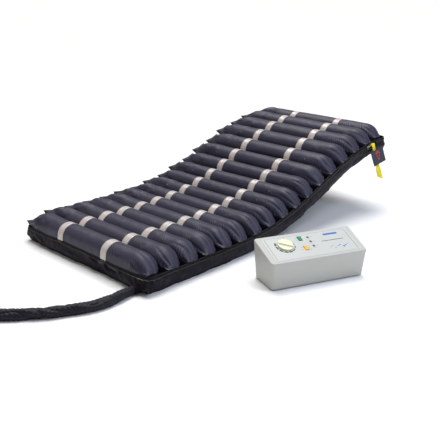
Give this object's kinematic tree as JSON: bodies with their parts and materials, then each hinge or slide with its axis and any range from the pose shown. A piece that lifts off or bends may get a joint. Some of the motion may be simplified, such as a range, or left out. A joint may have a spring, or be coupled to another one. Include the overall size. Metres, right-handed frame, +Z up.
{
  "type": "alternating pressure mattress",
  "caption": "Alternating pressure mattress of tubular air cells in a zipped base cover, with hose, deflation strap and control unit, shown with its back raised.",
  "frame": {"origin": "on the underside of the flat foot section, at its middle, where the bed's platform carries it", "axes": "+Z up, +Y from the foot end to the head end along the mattress, +X to the side of the air lines, the release strap and the control unit"},
  "size_m": [1.4216, 2.6357, 0.4792],
  "materials": {
    "cell_fabric": "coated nylon, satin",
    "cover_fabric": "woven nylon, coated inside",
    "band_fabric": "satin ribbon",
    "clear_tube": "clear soft tube",
    "grey_plastic": "moulded",
    "black_plastic": "moulded",
    "yellow_webbing": "woven",
    "tag_fabric": "woven, stitched",
    "zip_metal": "dark plated",
    "case_plastic": "fine texture",
    "foot_rubber": "matt",
    "screw_steel": "zinc plated",
    "panel_film": "printed film, satin",
    "knob_plastic": "satin",
    "green_plastic": "gloss",
    "yellow_plastic": "gloss",
    "lens_plastic": "tinted",
    "coated_steel": "powder coat",
    "cast_metal": "cast",
    "board_green": "solder mask"
  },
  "bodies": {
    "root": {"air_cell_01": "cell_fabric", "air_cell_02": "cell_fabric", "air_cell_03": "cell_fabric", "air_cell_04": "cell_fabric", "air_cell_05": "cell_fabric", "base_cover_foot": "cover_fabric", "cell_bands_foot": "band_fabric", "air_lines_foot": "clear_tube", "hose_collar": "cover_fabric", "hose_sleeve": "cover_fabric", "hose_connector": "black_plastic", "unit_case": "case_plastic", "unit_base": "case_plastic", "rubber_feet": "foot_rubber", "base_screws": "screw_steel", "control_panel": "panel_film", "indicator_lenses": "lens_plastic", "air_outlets": "grey_plastic", "mains_inlet": "black_plastic", "compressor": "cast_metal", "distributor": "grey_plastic", "circuit_board": "board_green"},
    "thigh_section": {"air_cell_06": "cell_fabric", "air_cell_07": "cell_fabric", "base_cover_thigh": "cover_fabric", "cell_bands_thigh": "band_fabric", "air_lines_thigh": "clear_tube"},
    "hip_section": {"air_cell_08": "cell_fabric", "air_cell_09": "cell_fabric", "base_cover_hip": "cover_fabric", "cell_bands_hip": "band_fabric", "air_lines_hip": "clear_tube"},
    "back_section": {"air_cell_10": "cell_fabric", "air_cell_11": "cell_fabric", "air_cell_12": "cell_fabric", "air_cell_13": "cell_fabric", "base_cover_back": "cover_fabric", "cell_bands_back": "band_fabric", "air_lines_back": "clear_tube"},
    "shoulder_section": {"air_cell_14": "cell_fabric", "air_cell_15": "cell_fabric", "base_cover_shoulder": "cover_fabric", "cell_bands_shoulder": "band_fabric", "air_lines_shoulder": "clear_tube"},
    "head_section": {"air_cell_16": "cell_fabric", "air_cell_17": "cell_fabric", "base_cover_head": "cover_fabric", "cell_bands_head": "band_fabric", "air_lines_head": "clear_tube", "release_valve": "grey_plastic"},
    "release_pull": {"release_plugs": "grey_plastic", "pull_strap": "yellow_webbing"},
    "release_flap": {"release_tag": "tag_fabric"},
    "slider": {"zip_slider": "zip_metal"},
    "knob": {"pressure_knob": "knob_plastic"},
    "power_switch": {"power_rocker": "green_plastic"},
    "mode_switch": {"mode_rocker": "yellow_plastic"},
    "hooks": {"bed_hooks": "coated_steel"},
    "magnet_arm": {"compressor_arm": "screw_steel"},
    "rotor": {"distributor_rotor": "case_plastic"}
  },
  "joints": [
    {"name": "thigh_bend", "type": "hinge", "parent": "root", "child": "thigh_section", "pos_m": [0, 0.34209, 0.04197], "axis": [1, 0, 0], "range_deg": [-4.75, 3.56]},
    {"name": "hip_bend", "type": "hinge", "parent": "thigh_section", "child": "hip_section", "pos_m": [0, 0.56568, 0.06051], "axis": [1, 0, 0], "range_deg": [-7.91, 5.93]},
    {"name": "back_bend", "type": "hinge", "parent": "hip_section", "child": "back_section", "pos_m": [0, 0.78324, 0.10934], "axis": [1, 0, 0], "range_deg": [-9.09, 6.82]},
    {"name": "shoulder_bend", "type": "hinge", "parent": "back_section", "child": "shoulder_section", "pos_m": [0, 1.20606, 0.27796], "axis": [1, 0, 0], "range_deg": [-3.93, 5.24]},
    {"name": "head_bend", "type": "hinge", "parent": "shoulder_section", "child": "head_section", "pos_m": [0, 1.43173, 0.34474], "axis": [1, 0, 0], "range_deg": [-7.88, 10.51]},
    {"name": "release_stroke", "type": "slide", "parent": "head_section", "child": "release_pull", "axis": [1, 0, 0], "range_m": [0, 0.012]},
    {"name": "tag_swing", "type": "hinge", "parent": "head_section", "child": "release_flap", "pos_m": [0.485, 1.50503, 0.35776], "axis": [0, -0.989, -0.1478], "range_deg": [0, 95]},
    {"name": "zip_travel", "type": "slide", "parent": "root", "child": "slider", "axis": [0, 1, 0], "range_m": [0, 0.3]},
    {"name": "pressure_knob_turn", "type": "hinge", "parent": "root", "child": "knob", "pos_m": [0.73859, 0.31418, 0.16009], "axis": [0.3014, -0.128, 0.9449], "range_deg": [-135, 135]},
    {"name": "power_switch_tilt", "type": "hinge", "parent": "root", "child": "power_switch", "pos_m": [0.74568, 0.40678, 0.16613], "axis": [0.3907, 0.9205, 0], "range_deg": [-14, 0]},
    {"name": "mode_switch_tilt", "type": "hinge", "parent": "root", "child": "mode_switch", "pos_m": [0.80134, 0.38315, 0.14517], "axis": [0.3907, 0.9205, 0], "range_deg": [-14, 0]},
    {"name": "bed_hook_swing", "type": "hinge", "parent": "root", "child": "hooks", "pos_m": [0.71071, 0.4629, 0.062], "axis": [0.3907, 0.9205, 0], "range_deg": [-90, 0]},
    {"name": "compressor_stroke", "type": "slide", "parent": "root", "child": "magnet_arm", "axis": [0.3907, 0.9205, 0], "range_m": [-0.0015, 0.0015], "stiffness_N_per_m": 2000},
    {"name": "rotor_turn", "type": "hinge", "parent": "root", "child": "rotor", "pos_m": [0.73859, 0.31418, 0.16009], "axis": [0.3014, -0.128, 0.9449], "continuous": true}
  ],
  "couplings": [
    {"joint": "hip_bend", "follows": "thigh_bend", "ratio": 1.6632},
    {"joint": "back_bend", "follows": "thigh_bend", "ratio": 1.9105},
    {"joint": "shoulder_bend", "follows": "thigh_bend", "ratio": -1.1},
    {"joint": "head_bend", "follows": "thigh_bend", "ratio": -2.2105}
  ]
}
